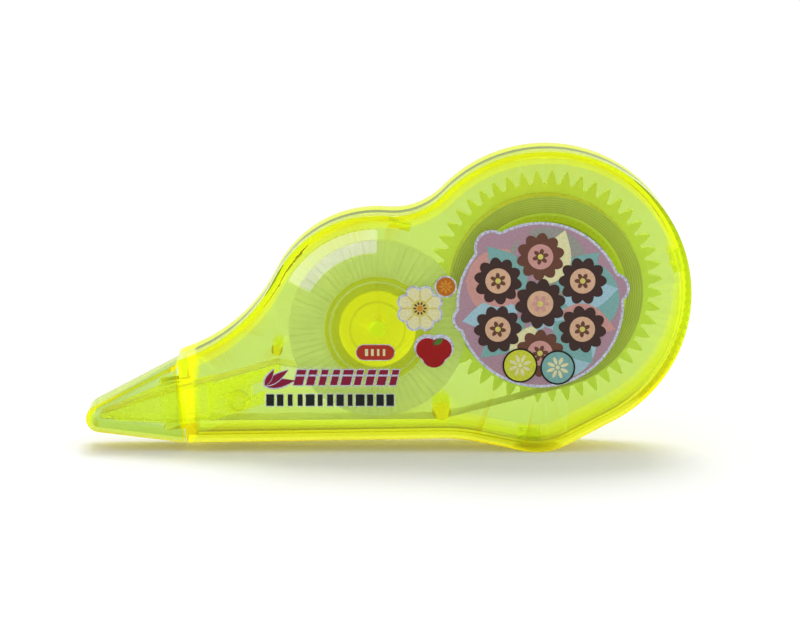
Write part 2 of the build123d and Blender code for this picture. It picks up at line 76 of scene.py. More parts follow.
# patches of two tones about size mm across, as a dye or an ink lies
def toneNoise(tree, size, low, high):
    place = addNode(tree, "ShaderNodeTexCoord")
    noise = addNode(tree, "ShaderNodeTexNoise", links={"Vector": place.outputs["Object"]},
                    inputs={"Scale": 1.0 / (size * mm), "Detail": 2.0})
    return addNode(tree, "ShaderNodeMapRange", links={"Value": noise.outputs["Fac"]},
                   inputs={"From Min": 0.3, "From Max": 0.7, "To Min": low, "To Max": high})


# fine unevenness about size mm across and depth mm deep
def surfaceBump(tree, size, depth):
    place = addNode(tree, "ShaderNodeTexCoord")
    noise = addNode(tree, "ShaderNodeTexNoise", links={"Vector": place.outputs["Object"]},
                    inputs={"Scale": 1.0 / (size * mm), "Detail": 3.0})
    return addNode(tree, "ShaderNodeBump", links={"Height": noise.outputs["Fac"]},
                   inputs={"Strength": 1.0, "Distance": depth * mm})


# Moulded polystyrene dyed fluorescent yellow, from a polished tool. It is clear, it takes blue out of what
# shows through, and it pipes light to its rims, its shoulder and the ends of its posts. That light is painted
# in: a faint painted glow all over, more painted glow on the rims, the shoulder and the post ends with a
# deeper painted yellow tint there, a warmer painted tint on faces that look down, and a greyer painted shade
# on faces that look up.
# Styrene bends light by 1.59: kept low here, because thin even walls hardly shift what lies behind them.
styrene = {
    "tint": "#d0e2d0", "dyeFlowAndPaintedRimTint": "#e4ea5c", "paintedUnderTint": "#d4c41c", "paintedTopShadeTint": "#d0e0ba",
    "paintedCapTopShadeTint": "#b4d0c0", "thinTint": "#f4f7e6",
    "ior": 1.015, "coat": 0.3, "roughness": (0.015, 0.06), "depthColour": "#ffffcb", "density": 1000.0,
    "glowColour": "#fbff00", "paintedUnderGlowColour": "#ffe400", "glow": 0.045, "edgeGlow": 0.08, "endGlow": 0.14,
    "endWay": (0.94, 0.0, -0.34), "halfDepth": 6.6, "postReach": 0.78, "thickPaintedGlowLevel": 0.8,
    "shoulder": (-30.8, -28.3), "flow": 9.0, "flowLevel": 0.12, "polish": 1.5, "ripple": (2.6, 0.004),
    "bands": ((0.0, 0.0), (0.70, 0.0), (0.735, 1.0), (0.75, 1.0), (0.77, 0.0), (0.82, 0.0),
              (0.86, 0.7), (0.90, 1.0), (0.94, 0.45), (0.985, 0.0))}


def neonStyrene(name, shoulder=True, thick=False):
    material, tree = newMaterial(name)
    place = addNode(tree, "ShaderNodeTexCoord")
    axes = addNode(tree, "ShaderNodeSeparateXYZ", links={0: place.outputs["Object"]})
    out = addNode(tree, "ShaderNodeMath", operation="ABSOLUTE", links={0: axes.outputs["Y"]})
    reach = addNode(tree, "ShaderNodeMapRange", links={"Value": out.outputs[0]},
                    inputs={"From Max": styrene["halfDepth"] * mm})
    # painted glow and a deeper painted yellow tint go on bands at set depths from the middle plane
    bands = addNode(tree, "ShaderNodeValToRGB", links={"Fac": reach.outputs[0]})
    while len(bands.color_ramp.elements) < len(styrene["bands"]):
        bands.color_ramp.elements.new(0.5)
    for element, (at, level) in zip(bands.color_ramp.elements, styrene["bands"]):
        element.position = at
        element.color = (level, level, level, 1.0)
    # thick mouldings: painted glow and a deeper painted tint over their whole middle
    if thick:
        for element in bands.color_ramp.elements[:2]:
            element.color = (styrene["thickPaintedGlowLevel"],) * 3 + (1.0,)
    edge = bands.outputs["Color"]
    # painted glow and deeper painted tint also on a band across the shoulder
    if shoulder:
        left, right = styrene["shoulder"]
        rise = addNode(tree, "ShaderNodeMapRange", links={"Value": axes.outputs["X"]},
                       inputs={"From Min": (left - 0.2) * mm, "From Max": (left + 0.2) * mm})
        fall = addNode(tree, "ShaderNodeMapRange", links={"Value": axes.outputs["X"]},
                       inputs={"From Min": (right + 0.25) * mm, "From Max": (right - 0.25) * mm})
        band = addNode(tree, "ShaderNodeMath", operation="MULTIPLY",
                       links={0: rise.outputs[0], 1: fall.outputs[0]})
        edge = addNode(tree, "ShaderNodeMath", operation="MAXIMUM",
                       links={0: edge, 1: band.outputs[0]}).outputs[0]
    # painted glow on the wall at the thick end, for the light that the top takes in and gives back there
    facing = addNode(tree, "ShaderNodeNewGeometry")
    toEnd = addNode(tree, "ShaderNodeVectorMath", operation="DOT_PRODUCT",
                    links={0: facing.outputs["Normal"]}, inputs={1: styrene["endWay"]})
    end = addNode(tree, "ShaderNodeMapRange", links={"Value": toEnd.outputs["Value"]},
                  inputs={"From Min": 0.3, "From Max": 1.0})
    height = addNode(tree, "ShaderNodeSeparateXYZ", links={0: facing.outputs["Normal"]})
    # painted shade: faces that look up get a greyer tint
    upper = addNode(tree, "ShaderNodeMapRange", links={"Value": height.outputs["Z"]},
                    inputs={"From Min": 0.2, "From Max": 0.9})
    # painted light: faces that look down get a warmer tint and a warmer colour of glow
    lower = addNode(tree, "ShaderNodeMapRange", links={"Value": height.outputs["Z"]},
                    inputs={"From Min": -0.2, "From Max": -0.9})
    # strength of the painted glow: faint all over, more on the rim and shoulder bands, most on the thick end
    lightEdge = addNode(tree, "ShaderNodeMath", operation="MULTIPLY_ADD", links={0: edge},
                        inputs={1: styrene["edgeGlow"], 2: styrene["glow"]})
    light = addNode(tree, "ShaderNodeMath", operation="MULTIPLY_ADD",
                    links={0: end.outputs[0], 2: lightEdge.outputs[0]},
                    inputs={1: styrene["endGlow"]})
    # painted glow: the post ends get the same deep yellow glow colour and tint as the walls that look down
    inner = addNode(tree, "ShaderNodeMath", operation="LESS_THAN", links={0: reach.outputs[0]},
                    inputs={1: styrene["postReach"]})
    post = addNode(tree, "ShaderNodeMath", operation="MULTIPLY",
                   links={0: inner.outputs[0], 1: bands.outputs["Color"]})
    warm = addNode(tree, "ShaderNodeMath", operation="MAXIMUM",
                   links={0: lower.outputs[0], 1: post.outputs[0]})
    glowTone = addNode(tree, "ShaderNodeMix", data_type="RGBA", links={0: warm.outputs[0]},
                       inputs={6: linear(styrene["glowColour"]), 7: linear(styrene["paintedUnderGlowColour"])})
    flow = toneNoise(tree, styrene["flow"], 0.0, styrene["flowLevel"])
    # the tint turns a deeper yellow on the painted rim bands, and in random patches of deeper dye from the
    # mould flow
    amount = addNode(tree, "ShaderNodeMath", operation="ADD", use_clamp=True,
                     links={0: edge, 1: flow.outputs[0]})
    # painted shade: greyer tint on faces that look up
    tint = addNode(tree, "ShaderNodeMix", data_type="RGBA", links={0: upper.outputs[0]},
                   inputs={6: linear(styrene["tint"]),
                           7: linear(styrene["paintedTopShadeTint" if shoulder or thick else "paintedCapTopShadeTint"])})
    tint = addNode(tree, "ShaderNodeMix", data_type="RGBA",
                   links={0: amount.outputs[0], 6: tint.outputs[2]},
                   inputs={7: linear(styrene["dyeFlowAndPaintedRimTint"])})
    # painted light: warmer tint on faces that look down and on the post ends
    tint = addNode(tree, "ShaderNodeMix", data_type="RGBA",
                   links={0: warm.outputs[0], 6: tint.outputs[2]},
                   inputs={7: linear(styrene["paintedUnderTint"])})
    if shoulder:
        # the neck inside the cap is thin, and paler
        neck = addNode(tree, "ShaderNodeMapRange", links={"Value": axes.outputs["X"]},
                       inputs={"From Min": (left - 0.1) * mm, "From Max": (left - 0.3) * mm})
        tint = addNode(tree, "ShaderNodeMix", data_type="RGBA",
                       links={0: neck.outputs[0], 6: tint.outputs[2]},
                       inputs={7: linear(styrene["thinTint"])})
    polish = toneNoise(tree, styrene["polish"], *styrene["roughness"])
    ripple = surfaceBump(tree, *styrene["ripple"])
    shell = addNode(tree, "ShaderNodeBsdfPrincipled",
                    links={"Base Color": tint.outputs[2], "Roughness": polish.outputs[0],
                           "Normal": ripple.outputs[0], "Emission Color": glowTone.outputs[2],
                           "Emission Strength": light.outputs[0]},
                    inputs={"IOR": styrene["ior"], "Transmission Weight": 1.0,
                            "Coat Weight": styrene["coat"]})
    depth = addNode(tree, "ShaderNodeVolumeAbsorption", inputs={
        "Color": linear(styrene["depthColour"]), "Density": styrene["density"]})
    addNode(tree, "ShaderNodeOutputMaterial",
            links={"Surface": shell.outputs[0], "Volume": depth.outputs[0]})
    return material


# Inner mouldings: soft-looking, light goes a little way in and comes out paler. Each also has a faint
# painted glow (emission) in its own yellow-green.
innerPlastics = {
    # natural acetal, moulded, waxy and milky
    "milkyAcetal": {"tones": ("#f3f8d8", "#e9f2c4"), "roughness": (0.38, 0.5), "through": 0.3, "ior": 1.2,
                    "glowColour": "#dcff20", "glow": 0.10, "grain": (0.5, 0.004)},
    # polystyrene from a spark-eroded tool, frosted like ground glass
    "frostedStyrene": {"tones": ("#eceeec", "#e0e3e2"), "roughness": (0.45, 0.6), "through": 0.4,
                       "ior": 1.2, "glowColour": "#f0ffd8", "glow": 0.13, "grain": (0.22, 0.004)},
    # acetal with a yellow tint, for the applicator head
    "tintedAcetal": {"tones": ("#fafa9c", "#f2f488"), "roughness": (0.2, 0.3), "through": 0.8, "ior": 1.05,
                     "glowColour": "#eeff00", "glow": 0.12, "grain": (0.8, 0.001)},
}


def innerPlastic(name):
    look = innerPlastics[name]
    material, tree = newMaterial(name)
    patch = toneNoise(tree, 4.0, 0.0, 1.0)
    tone = addNode(tree, "ShaderNodeMix", data_type="RGBA", links={0: patch.outputs[0]},
                   inputs={6: linear(look["tones"][0]), 7: linear(look["tones"][1])})
    sheen = toneNoise(tree, 1.2, *look["roughness"])
    grain = surfaceBump(tree, *look["grain"])
    # painted glow: each moulding's emission colour and strength
    body = addNode(tree, "ShaderNodeBsdfPrincipled",
                   links={"Base Color": tone.outputs[2], "Roughness": sheen.outputs[0],
                          "Normal": grain.outputs[0]},
                   inputs={"IOR": look["ior"], "Transmission Weight": look["through"],
                           "Emission Color": linear(look["glowColour"]),
                           "Emission Strength": look["glow"]})
    addNode(tree, "ShaderNodeOutputMaterial", links={"Surface": body.outputs[0]})
    return material


# Wound paper: the turns show at the end of the roll as fine rings. A turn is about 0.05 mm,
# too fine to show, so one ring here stands for several.
rolls = {
    # white correction film on its liner, seen edge on: dull, with a painted green cast for the light inside
    # the case
    "woundTape": {"tones": ("#d6dcc4", "#b6bea2"), "ring": 0.34, "axis": "supply_reel",
                  "roughness": 0.7, "glow": 0.0},
    # spent glassine liner, loosely wound and paler, with a faint painted yellow-green glow
    "woundLiner": {"tones": ("#eef1de", "#dfe4c8"), "ring": 0.5, "axis": "take_up_reel",
                   "roughness": 0.55, "glow": 0.08},
}
axisOf = {joint["child"]: joint["pos_m"] for joint in behaviour["joints"] if "pos_m" in joint}


def woundPaper(name):
    look = rolls[name]
    centre = axisOf[look["axis"]]
    material, tree = newMaterial(name)
    place = addNode(tree, "ShaderNodeTexCoord")
    moved = addNode(tree, "ShaderNodeMapping", links={"Vector": place.outputs["Object"]},
                    inputs={"Location": [-c for c in centre]})
    rings = addNode(tree, "ShaderNodeTexWave", wave_type="RINGS", rings_direction="Y",
                    links={"Vector": moved.outputs[0]},
                    inputs={"Scale": math.pi / (10.0 * look["ring"] * mm), "Distortion": 0.6,
                            "Detail": 2.0})
    patch = toneNoise(tree, 2.0, -0.15, 0.15)
    amount = addNode(tree, "ShaderNodeMath", operation="ADD", use_clamp=True,
                     links={0: rings.outputs["Fac"], 1: patch.outputs[0]})
    tone = addNode(tree, "ShaderNodeMix", data_type="RGBA", links={0: amount.outputs[0]},
                   inputs={6: linear(look["tones"][1]), 7: linear(look["tones"][0])})
    relief = addNode(tree, "ShaderNodeBump", links={"Height": rings.outputs["Fac"]},
                     inputs={"Strength": 0.5, "Distance": 0.02 * mm})
    # painted glow: faint yellow-green emission, set per roll
    body = addNode(tree, "ShaderNodeBsdfPrincipled",
                   links={"Base Color": tone.outputs[2], "Normal": relief.outputs[0]},
                   inputs={"Roughness": look["roughness"], "Emission Color": linear("#e8ff60"),
                           "Emission Strength": look["glow"]})
    addNode(tree, "ShaderNodeOutputMaterial", links={"Surface": body.outputs[0]})
    return material


# The tape and its liner where they run free: smooth white film, thin enough to let light through, with a
# faint painted yellow glow
def runningFilm():
    material, tree = newMaterial("runningFilm")
    patch = toneNoise(tree, 1.6, 0.0, 1.0)
    tone = addNode(tree, "ShaderNodeMix", data_type="RGBA", links={0: patch.outputs[0]},
                   inputs={6: linear("#f6f7f0"), 7: linear("#e9ebdd")})
    creases = surfaceBump(tree, 2.0, 0.02)
    # painted glow: a faint yellow emission
    body = addNode(tree, "ShaderNodeBsdfPrincipled",
                   links={"Base Color": tone.outputs[2], "Normal": creases.outputs[0]},
                   inputs={"Roughness": 0.5, "IOR": 1.2, "Transmission Weight": 0.4,
                           "Emission Color": linear("#f4ffa0"), "Emission Strength": 0.06})
    addNode(tree, "ShaderNodeOutputMaterial", links={"Surface": body.outputs[0]})
    return material


# Silicone rubber, moulded and dusty: matt grey ring that slips under load
def greySilicone():
    material, tree = newMaterial("greySilicone")
    patch = toneNoise(tree, 1.0, 0.0, 1.0)
    tone = addNode(tree, "ShaderNodeMix", data_type="RGBA", links={0: patch.outputs[0]},
                   inputs={6: linear("#c9cdbb"), 7: linear("#b8bca8")})
    grain = surfaceBump(tree, 0.3, 0.01)
    body = addNode(tree, "ShaderNodeBsdfPrincipled", inputs={"Roughness": 0.75},
                   links={"Base Color": tone.outputs[2], "Normal": grain.outputs[0]})
    addNode(tree, "ShaderNodeOutputMaterial", links={"Surface": body.outputs[0]})
    return material


# Hot-stamped silver foil: bright metal with a fine crinkle that breaks up its reflections
def silverFoil():
    material, tree = newMaterial("silverFoil")
    patch = toneNoise(tree, 0.35, 0.0, 1.0)
    tone = addNode(tree, "ShaderNodeMix", data_type="RGBA", links={0: patch.outputs[0]},
                   inputs={6: linear("#c9ccd8"), 7: linear("#8f93a6")})
    polish = toneNoise(tree, 0.6, 0.22, 0.45)
    crinkle = surfaceBump(tree, 0.4, 0.03)
    body = addNode(tree, "ShaderNodeBsdfPrincipled", inputs={"Metallic": 0.9},
                   links={"Base Color": tone.outputs[2], "Roughness": polish.outputs[0],
                          "Normal": crinkle.outputs[0]})
    addNode(tree, "ShaderNodeOutputMaterial", links={"Surface": body.outputs[0]})
    return material


# Clear polyester transfer film: next to invisible but for a faint sheen
def clearFilm():
    material, tree = newMaterial("clearFilm")
    polish = toneNoise(tree, 1.0, 0.08, 0.2)
    body = addNode(tree, "ShaderNodeBsdfPrincipled", links={"Roughness": polish.outputs[0]},
                   inputs={"Base Color": linear("#dcee90"), "Alpha": 0.06})
    addNode(tree, "ShaderNodeOutputMaterial", links={"Surface": body.outputs[0]})
    return material


# Screen-printed ink under a thin varnish: even colour with the faint grain of the mesh it was pressed through
inks = {
    "duskyMauve": "#b08e9c", "dustyTeal": "#7fb0ac", "paleBlue": "#a3c9d6", "darkBrown": "#3f2a26",
    "chestnut": "#6b4334", "peach": "#dcb392", "blush": "#cf9a92", "cream": "#e6e2ae",
    "butter": "#d9cf6a", "orange": "#bd6d14", "amber": "#d68f2c", "cherryRed": "#a00808",
    "leafGreen": "#4c7a2c", "brickRed": "#b2321c", "maroon": "#8b1236", "inkBlack": "#15180f",
    "lemon": "#cfd63c", "stone": "#9a9a92",
}
inkLook = {"grain": 0.3, "shade": 0.82, "roughness": (0.38, 0.5), "shine": 0.2, "mesh": (0.25, 0.004)}
inkPots = {}


def printInk(name):
    if name in inkPots:
        return inkPots[name]
    material, tree = newMaterial("ink." + name)
    full = linear(inks[name])
    thin = tuple(c * inkLook["shade"] for c in full[:3]) + (1.0,)
    patch = toneNoise(tree, inkLook["grain"], 0.0, 1.0)
    tone = addNode(tree, "ShaderNodeMix", data_type="RGBA", links={0: patch.outputs[0]},
                   inputs={6: full, 7: thin})
    gloss = toneNoise(tree, 0.8, *inkLook["roughness"])
    mesh = surfaceBump(tree, *inkLook["mesh"])
    body = addNode(tree, "ShaderNodeBsdfPrincipled", inputs={"Specular IOR Level": inkLook["shine"]},
                   links={"Base Color": tone.outputs[2], "Roughness": gloss.outputs[0],
                          "Normal": mesh.outputs[0]})
    addNode(tree, "ShaderNodeOutputMaterial", links={"Surface": body.outputs[0]})
    inkPots[name] = material
    return material


def bodyOf(node):
    return next(body for body, nodes in behaviour["bodies"].items() if node in nodes)


# a CAD node shown with merged, smoothly shaded faces
def finishNode(node, material, angle=32.0):
    source = frame["nodes"][node]
    mesh = source.data.copy()
    mesh.transform(source.matrix_world)
    piece = bpy.data.objects.new(node + ".shown", mesh)
    bpy.context.scene.collection.objects.link(piece)
    work = bmesh.new()
    work.from_mesh(mesh)
    bmesh.ops.remove_doubles(work, verts=work.verts, dist=0.001 * mm)
    work.to_mesh(mesh)
    work.free()
    mesh.materials.clear()
    mesh.materials.append(material)
    mesh.shade_smooth()
    mesh.set_sharp_from_angle(angle=math.radians(angle))
    weigh = piece.modifiers.new("weigh", "WEIGHTED_NORMAL")
    weigh.keep_sharp = True
    weigh.weight = 80
    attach(piece, bodyOf(node))
    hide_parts(node)
    return piece


caseStyrene = neonStyrene("neonStyreneCase")
capStyrene = neonStyrene("neonStyreneCap", shoulder=False)
acetal = innerPlastic("milkyAcetal")
frosted = innerPlastic("frostedStyrene")
headAcetal = innerPlastic("tintedAcetal")
tapeEnds = woundPaper("woundTape")
linerEnds = woundPaper("woundLiner")
runs = runningFilm()
foil = silverFoil()
film = clearFilm()
finishes = {
    "front_case": (caseStyrene, "case_plastic"), "back_case": (caseStyrene, "case_plastic"),
    "tip_cap": (capStyrene, "cap_plastic"), "applicator_head": (headAcetal, "head_plastic"),
    "supply_gear": (acetal, "reel_plastic"), "clutch_ring": (greySilicone(), "clutch_rubber"),
    "supply_core": (acetal, "reel_plastic"), "tape_roll": (tapeEnds, "correction_tape"),
    "take_up_spool": (frosted, "frosted_plastic"), "take_up_pinion": (acetal, "reel_plastic"),
    "used_liner_roll": (linerEnds, "liner_film"), "tape_run": (runs, "correction_tape"),
    "liner_run": (runs, "liner_film"), "picture_label": (foil, "picture_print"),
    "flower_label": (foil, "flower_print"), "fruit_label": (foil, "fruit_print"),
    "apple_label": (foil, "apple_print"), "pill_label": (foil, "pill_print"),
    "stripe_label": (film, "stripe_print"), "bar_label": (film, "bar_print")}
for node, (material, slot) in finishes.items():
    finishNode(node, material)
print("mouldings, rolls and sticker sheets finished:", len(finishes))

# Rings moulded inside the front cover, round the middle of the take-up reel: they keep the reel in
# line, and being thick they get more painted glow and a deeper painted yellow tint all over
ringLook = {"depths": (5.3, 4.75), "rings": ((7.4, 0.3), (6.15, 0.6), (4.0, 0.16)),
            "steps": 96}


def coverRings():
    middle = axisOf["take_up_reel"]
    front, back = (-depth * mm for depth in ringLook["depths"])
    work = bmesh.new()
    for radius, width in ringLook["rings"]:
        inner, outer = (radius - width) * mm, (radius + width) * mm
        soft = 0.3 * width * mm
        # the wall's section: its root in the cover, its free end rounded off
        section = [(inner, front), (inner, back - soft), (inner + soft, back), (outer - soft, back),
                   (outer, back - soft), (outer, front)]
        rows = []
        for step in range(ringLook["steps"]):
            angle = math.tau * step / ringLook["steps"]
            rows.append([work.verts.new((middle[0] + r * math.cos(angle), y,
                                         middle[2] + r * math.sin(angle))) for r, y in section])
        for row, following in zip(rows, rows[1:] + rows[:1]):
            for i in range(len(section)):
                j = (i + 1) % len(section)
                work.faces.new((row[i], row[j], following[j], following[i]))
    bmesh.ops.recalc_face_normals(work, faces=work.faces)
    mesh = bpy.data.meshes.new("cover.rings")
    work.to_mesh(mesh)
    work.free()
    mesh.materials.append(neonStyrene("neonStyreneRings", shoulder=False, thick=True))
    mesh.shade_smooth()
    mesh.set_sharp_from_angle(angle=math.radians(35))
    piece = bpy.data.objects.new("cover.rings", mesh)
    bpy.context.scene.collection.objects.link(piece)
    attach(piece, bodyOf("front_case"))
    return piece


coverRings()
print("rings inside the cover")

# Stickers. Each ink is a thin closed layer, one on the other, in front of its sheet.
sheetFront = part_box("picture_label")[0][1]  # the stickers' outer face looks along -Y
inkThickness = 0.008 * mm


# the middle of a sticker across the front, and half its width and height
def stickerPlace(node):
    low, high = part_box(node)
    return ((low[0] + high[0]) / 2, (low[2] + high[2]) / 2,
            (high[0] - low[0]) / 2, (high[2] - low[2]) / 2)


# an outline round several discs that all lie about one middle
def roundDiscs(discs, inset, steps=120):
    points = []
    for step in range(steps):
        angle = math.tau * step / steps
        ray = Vector((math.cos(angle), math.sin(angle)))
        reach = 0.0
        for x, z, radius in discs:
            along = x * ray.x + z * ray.y
            aside = x * ray.y - z * ray.x
            if abs(aside) < radius - inset:
                reach = max(reach, along + math.sqrt((radius - inset) ** 2 - aside ** 2))
        points.append((reach * ray.x, reach * ray.y))
    return points


def leafOutline(length, width, steps=14):
    side = [(length * i / steps, width / 2 * math.sin(math.pi * (i / steps) ** 0.8))
            for i in range(1, steps)]
    return [(0.0, 0.0)] + [(x, -w) for x, w in side] + [(length, 0.0)] + [(x, w) for x, w in side[::-1]]


def turned(points, degrees, move=(0.0, 0.0)):
    c, s = math.cos(math.radians(degrees)), math.sin(math.radians(degrees))
    return [(move[0] + x * c - z * s, move[1] + x * s + z * c) for x, z in points]


# a flat closed layer with this outline, in mm about the middle, level layers in front of the sheet
def inkLayer(outline, ink, level):
    work = bmesh.new()
    face = work.faces.new([work.verts.new((x * mm, z * mm, 0.0)) for x, z in outline])
    grown = bmesh.ops.extrude_face_region(work, geom=[face])
    for vert in grown["geom"]:
        if isinstance(vert, bmesh.types.BMVert):
            vert.co.z += inkThickness
    bmesh.ops.recalc_face_normals(work, faces=work.faces)
    mesh = bpy.data.meshes.new(ink)
    work.to_mesh(mesh)
    work.free()
    mesh.materials.append(foil if ink == "foil" else printInk(ink))
    mesh.transform(Matrix.Translation((0, 0, level * inkThickness)))
    return mesh


# one sticker's layers as one piece: local X right, local Y up, local Z out of the front
def placePrint(name, meshes, node):
    x, z = stickerPlace(node)[:2]
    whole = bmesh.new()
    materials = []
    for mesh in meshes:
        first = len(whole.faces)
        whole.from_mesh(mesh)
        whole.faces.ensure_lookup_table()
        for index in range(first, len(whole.faces)):
            face = whole.faces[index]
            material = mesh.materials[face.material_index]
            if material not in materials:
                materials.append(material)
            face.material_index = materials.index(material)
    placed = bpy.data.meshes.new(name)
    whole.to_mesh(placed)
    whole.free()
    for material in materials:
        placed.materials.append(material)
    placed.transform(Matrix(((1, 0, 0, x), (0, 0, -1, sheetFront), (0, 1, 0, z), (0, 0, 0, 1))))
    piece = bpy.data.objects.new(name, placed)
    bpy.context.scene.collection.objects.link(piece)
    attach(piece, bodyOf(node))
    return piece


def newTree(name, sockets):
    tree = bpy.data.node_groups.new(name, "GeometryNodeTree")
    ids = {}
    for label, kind in sockets.items():
        ids[label] = tree.interface.new_socket(label, in_out="INPUT", socket_type=kind).identifier
    tree.interface.new_socket("Geometry", in_out="OUTPUT", socket_type="NodeSocketGeometry")
    return tree, ids, tree.nodes.new("NodeGroupInput")


# runs a tree once and gives its result as a plain mesh
def bakeTree(tree, ids, values):
    holder = bpy.data.objects.new("holder", bpy.data.meshes.new("holder"))
    bpy.context.scene.collection.objects.link(holder)
    modifier = holder.modifiers.new("tree", "NODES")
    modifier.node_group = tree
    for label, value in values.items():
        modifier[ids[label]] = value
    shown = holder.evaluated_get(bpy.context.evaluated_depsgraph_get())
    mesh = bpy.data.meshes.new_from_object(shown)
    bpy.data.objects.remove(holder)
    return mesh


# petals set round a middle, each a flat ellipse, with a round core on top
def petalWheelTree():
    tree, ids, given = newTree("petalWheel", {
        "Petals": "NodeSocketInt", "Petal length": "NodeSocketFloat", "Petal width": "NodeSocketFloat",
        "Reach": "NodeSocketFloat", "Core": "NodeSocketFloat", "Turn": "NodeSocketFloat",
        "Thickness": "NodeSocketFloat", "Petal ink": "NodeSocketMaterial",
        "Core ink": "NodeSocketMaterial"})
    value = given.outputs
    petal = addNode(tree, "GeometryNodeMeshCylinder", inputs={"Vertices": 22, "Radius": 0.5},
                    links={"Depth": value["Thickness"]})
    stretch = addNode(tree, "ShaderNodeCombineXYZ", inputs={"Z": 1.0},
                      links={"X": value["Petal length"], "Y": value["Petal width"]})
    out = addNode(tree, "ShaderNodeCombineXYZ", links={"X": value["Reach"]})
    petal = addNode(tree, "GeometryNodeTransform",
                    links={"Geometry": petal.outputs["Mesh"], "Translation": out.outputs[0],
                           "Scale": stretch.outputs[0]})
    # every other petal lies one layer higher, over its two neighbours
    index = addNode(tree, "GeometryNodeInputIndex")
    odd = addNode(tree, "ShaderNodeMath", operation="MODULO", inputs={1: 2.0},
                  links={0: index.outputs[0]})
    up = addNode(tree, "ShaderNodeMath", operation="MULTIPLY",
                 links={0: odd.outputs[0], 1: value["Thickness"]})
    raised = addNode(tree, "ShaderNodeCombineXYZ", links={"Z": up.outputs[0]})
    spots = addNode(tree, "GeometryNodePoints",
                    links={"Count": value["Petals"], "Position": raised.outputs[0]})
    share = addNode(tree, "ShaderNodeMath", operation="DIVIDE",
                    links={0: index.outputs[0], 1: value["Petals"]})
    angle = addNode(tree, "ShaderNodeMath", operation="MULTIPLY_ADD", inputs={1: math.tau},
                    links={0: share.outputs[0], 2: value["Turn"]})
    spin = addNode(tree, "ShaderNodeCombineXYZ", links={"Z": angle.outputs[0]})
    ring = addNode(tree, "GeometryNodeInstanceOnPoints",
                   links={"Points": spots.outputs[0], "Instance": petal.outputs[0],
                          "Rotation": spin.outputs[0]})
    ring = addNode(tree, "GeometryNodeSetMaterial",
                   links={"Geometry": ring.outputs[0], "Material": value["Petal ink"]})
    thick = addNode(tree, "ShaderNodeMath", operation="MULTIPLY", inputs={1: 4.4},
                    links={0: value["Thickness"]})
    core = addNode(tree, "GeometryNodeMeshCylinder", inputs={"Vertices": 28},
                   links={"Radius": value["Core"], "Depth": thick.outputs[0]})
    core = addNode(tree, "GeometryNodeSetMaterial",
                   links={"Geometry": core.outputs["Mesh"], "Material": value["Core ink"]})
    both = addNode(tree, "GeometryNodeJoinGeometry")
    tree.links.new(core.outputs[0], both.inputs[0])
    tree.links.new(ring.outputs[0], both.inputs[0])
    plain = addNode(tree, "GeometryNodeRealizeInstances", links={"Geometry": both.outputs[0]})
    addNode(tree, "NodeGroupOutput", links={0: plain.outputs[0]})
    return tree, ids


# a row of slanted blocks of uneven width, as a line of plain marks
def markRowTree():
    tree, ids, given = newTree("markRow", {
        "Count": "NodeSocketInt", "Pitch": "NodeSocketFloat", "Width": "NodeSocketFloat",
        "Height": "NodeSocketFloat", "Slant": "NodeSocketFloat", "Thickness": "NodeSocketFloat",
        "Uneven": "NodeSocketFloat", "Ink": "NodeSocketMaterial"})
    value = given.outputs
    step = addNode(tree, "ShaderNodeCombineXYZ", links={"X": value["Pitch"]})
    row = addNode(tree, "GeometryNodeMeshLine", links={"Count": value["Count"], "Offset": step.outputs[0]})
    size = addNode(tree, "ShaderNodeCombineXYZ", links={"X": value["Width"], "Y": value["Height"],
                                                        "Z": value["Thickness"]})
    block = addNode(tree, "GeometryNodeMeshCube", links={"Size": size.outputs[0]})
    least = addNode(tree, "ShaderNodeMath", operation="SUBTRACT", inputs={0: 1.0},
                    links={1: value["Uneven"]})
    chance = addNode(tree, "FunctionNodeRandomValue", data_type="FLOAT", inputs={"Seed": 7})
    tree.links.new(least.outputs[0], chance.inputs[2])
    chance.inputs[3].default_value = 1.0
    narrow = addNode(tree, "ShaderNodeCombineXYZ", inputs={"Y": 1.0, "Z": 1.0},
                     links={"X": chance.outputs[1]})
    marks = addNode(tree, "GeometryNodeInstanceOnPoints",
                    links={"Points": row.outputs[0], "Instance": block.outputs["Mesh"],
                           "Scale": narrow.outputs[0]})
    plain = addNode(tree, "GeometryNodeRealizeInstances", links={"Geometry": marks.outputs[0]})
    where = addNode(tree, "GeometryNodeInputPosition")
    parts = addNode(tree, "ShaderNodeSeparateXYZ", links={0: where.outputs[0]})
    lean = addNode(tree, "ShaderNodeMath", operation="MULTIPLY",
                   links={0: parts.outputs["Y"], 1: value["Slant"]})
    push = addNode(tree, "ShaderNodeCombineXYZ", links={"X": lean.outputs[0]})
    leant = addNode(tree, "GeometryNodeSetPosition",
                    links={"Geometry": plain.outputs[0], "Offset": push.outputs[0]})
    inked = addNode(tree, "GeometryNodeSetMaterial",
                    links={"Geometry": leant.outputs[0], "Material": value["Ink"]})
    addNode(tree, "NodeGroupOutput", links={0: inked.outputs[0]})
    return tree, ids


petalWheel, petalIds = petalWheelTree()
markRow, markIds = markRowTree()


# sizes in mm; level counts ink layers up from the sheet
def flower(x, z, petals, length, width, reach, core, petalInk, coreInk, turn=0.0, level=1):
    mesh = bakeTree(petalWheel, petalIds, {
        "Petals": petals, "Petal length": length * mm, "Petal width": width * mm,
        "Reach": reach * mm, "Core": core * mm, "Turn": math.radians(turn), "Thickness": inkThickness,
        "Petal ink": printInk(petalInk), "Core ink": printInk(coreInk)})
    mesh.transform(Matrix.Translation((x * mm, z * mm, (level + 0.5) * inkThickness)))
    return mesh


